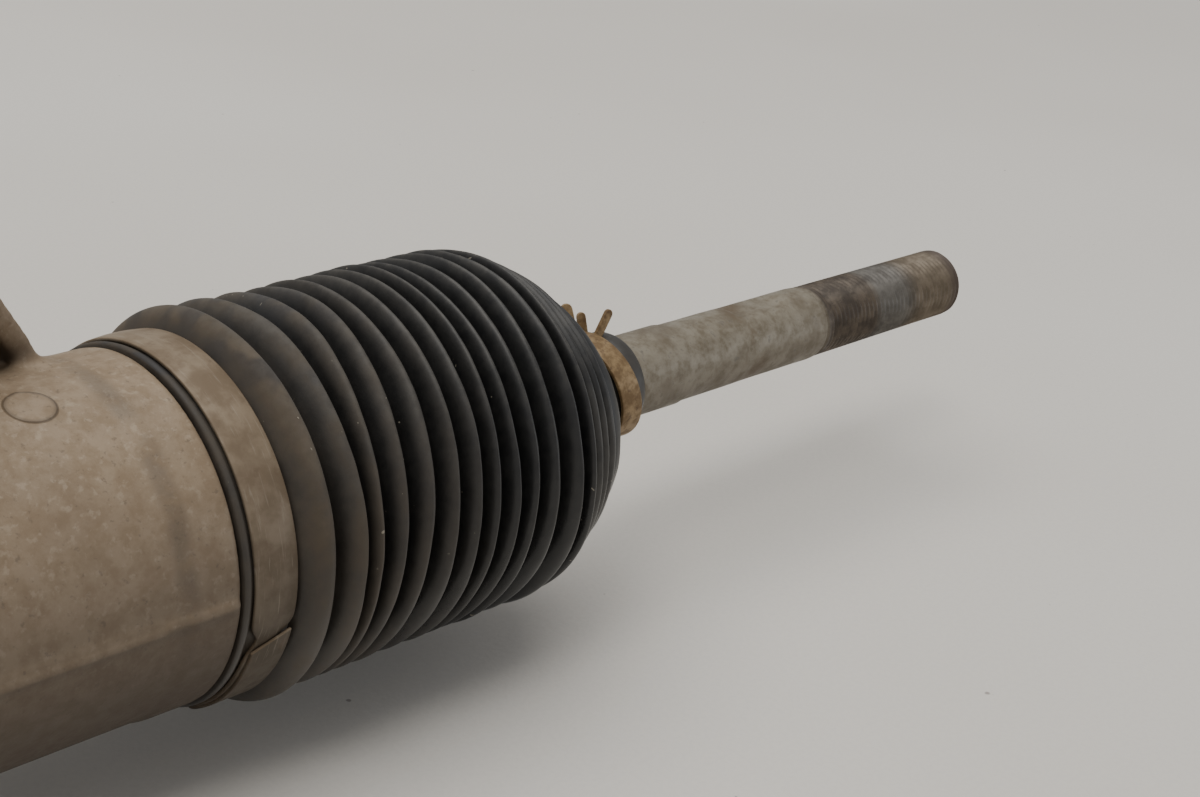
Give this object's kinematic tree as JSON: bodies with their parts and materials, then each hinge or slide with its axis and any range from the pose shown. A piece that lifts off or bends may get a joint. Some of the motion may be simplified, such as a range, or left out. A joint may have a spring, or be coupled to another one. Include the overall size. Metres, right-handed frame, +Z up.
{
  "type": "rack and pinion steering gear",
  "caption": "Car rack and pinion steering gear: cast housings, tube, rack, pinion shaft, ribbed bellows with clamps and threaded tie rods.",
  "frame": {"origin": "centre of the flat underside of the saddle bush, straight below the rack axis", "axes": "+X along the rack towards the end whose bellows is shorter, +Y towards the pinion side, +Z up along the pinion shaft"},
  "size_m": [1.0698, 0.1121, 0.14],
  "materials": {
    "cast_aluminium": "weathered sand-cast surface with brown grime",
    "tube_steel": "black painted tube, dusty",
    "ground_steel": "ground and polished",
    "bearing_steel": "polished",
    "pressed_steel": "pressed sheet",
    "spring_steel": "oiled spring steel",
    "plated_steel": "zinc plated, dulled",
    "zinc_steel": "zinc plated with brown stains and a rusty thread",
    "bush_plastic": "natural low-friction plastic",
    "cover_plastic": "black moulded plastic",
    "seal_rubber": "black rubber",
    "mount_rubber": "black moulded rubber",
    "bellows_rubber": "black ribbed rubber, dusty towards the housing",
    "clamp_band": "dirty tan band",
    "brass_clamp": "tarnished spring band"
  },
  "bodies": {
    "housing": {"pinion_housing": "cast_aluminium", "end_housing": "cast_aluminium", "rack_tube": "tube_steel", "saddle_bush": "mount_rubber", "rack_bush": "bush_plastic", "upper_bearing_outer_race": "bearing_steel", "upper_bearing_circlip": "spring_steel", "pinion_seal": "seal_rubber", "pinion_dust_cover": "cover_plastic", "lower_bearing_cup": "pressed_steel", "lower_plug": "plated_steel", "yoke": "cast_aluminium", "yoke_liner": "bush_plastic", "yoke_spring": "spring_steel", "yoke_o_ring": "seal_rubber", "yoke_plug": "plated_steel", "yoke_lock_nut": "plated_steel", "left_mount_bush": "mount_rubber", "left_mount_sleeve": "plated_steel", "right_mount_bush": "mount_rubber", "right_mount_sleeve": "plated_steel", "left_bellows": "bellows_rubber", "right_bellows": "bellows_rubber", "left_large_clamp": "clamp_band", "right_large_clamp": "clamp_band"},
    "rack": {"rack_bar": "ground_steel", "left_lock_washer": "spring_steel", "left_inner_socket": "plated_steel", "right_lock_washer": "spring_steel", "right_inner_socket": "plated_steel"},
    "pinion": {"pinion_shaft": "ground_steel", "upper_bearing_inner_race": "bearing_steel", "pinion_snap_ring": "spring_steel"},
    "upper_bearing_set": {"upper_bearing_cage": "pressed_steel", "upper_bearing_balls": "bearing_steel"},
    "lower_bearing_set": {"lower_bearing_needles": "bearing_steel"},
    "left_seat": {"left_ball_seat": "bush_plastic"},
    "left_rod": {"left_tie_rod": "zinc_steel", "left_small_clamp": "brass_clamp"},
    "right_seat": {"right_ball_seat": "bush_plastic"},
    "right_rod": {"right_tie_rod": "zinc_steel", "right_small_clamp": "brass_clamp"}
  },
  "joints": [
    {"name": "rack_slide", "type": "slide", "parent": "housing", "child": "rack", "axis": [1, 0, 0], "range_m": [-0.04, 0.09], "deforming": ["left_bellows", "right_bellows"]},
    {"name": "pinion_turn", "type": "hinge", "parent": "housing", "child": "pinion", "pos_m": [-0.17, 0.0167, 0.042], "axis": [0, 0, 1], "range_deg": [-290, 650]},
    {"name": "upper_bearing_turn", "type": "hinge", "parent": "housing", "child": "upper_bearing_set", "pos_m": [-0.17, 0.0167, 0.042], "axis": [0, 0, 1], "range_deg": [-120, 270]},
    {"name": "lower_bearing_turn", "type": "hinge", "parent": "housing", "child": "lower_bearing_set", "pos_m": [-0.17, 0.0167, 0.042], "axis": [0, 0, 1], "range_deg": [-130, 285]},
    {"name": "left_rod_steer", "type": "hinge", "parent": "rack", "child": "left_seat", "pos_m": [-0.35, 0, 0.042], "axis": [0, 0, 1], "range_deg": [-18, 18], "deforming": ["left_bellows"]},
    {"name": "left_rod_lift", "type": "hinge", "parent": "left_seat", "child": "left_rod", "pos_m": [-0.35, 0, 0.042], "axis": [0, 1, 0], "range_deg": [-18, 18], "deforming": ["left_bellows"]},
    {"name": "right_rod_steer", "type": "hinge", "parent": "rack", "child": "right_seat", "pos_m": [0.3, 0, 0.042], "axis": [0, 0, 1], "range_deg": [-18, 18], "deforming": ["right_bellows"]},
    {"name": "right_rod_lift", "type": "hinge", "parent": "right_seat", "child": "right_rod", "pos_m": [0.3, 0, 0.042], "axis": [0, 1, 0], "range_deg": [-18, 18], "deforming": ["right_bellows"]}
  ],
  "couplings": [
    {"joint": "pinion_turn", "follows": "rack_slide", "rad_per_m": 125},
    {"joint": "upper_bearing_turn", "follows": "rack_slide", "rad_per_m": 50.202},
    {"joint": "lower_bearing_turn", "follows": "rack_slide", "rad_per_m": 53.495}
  ]
}
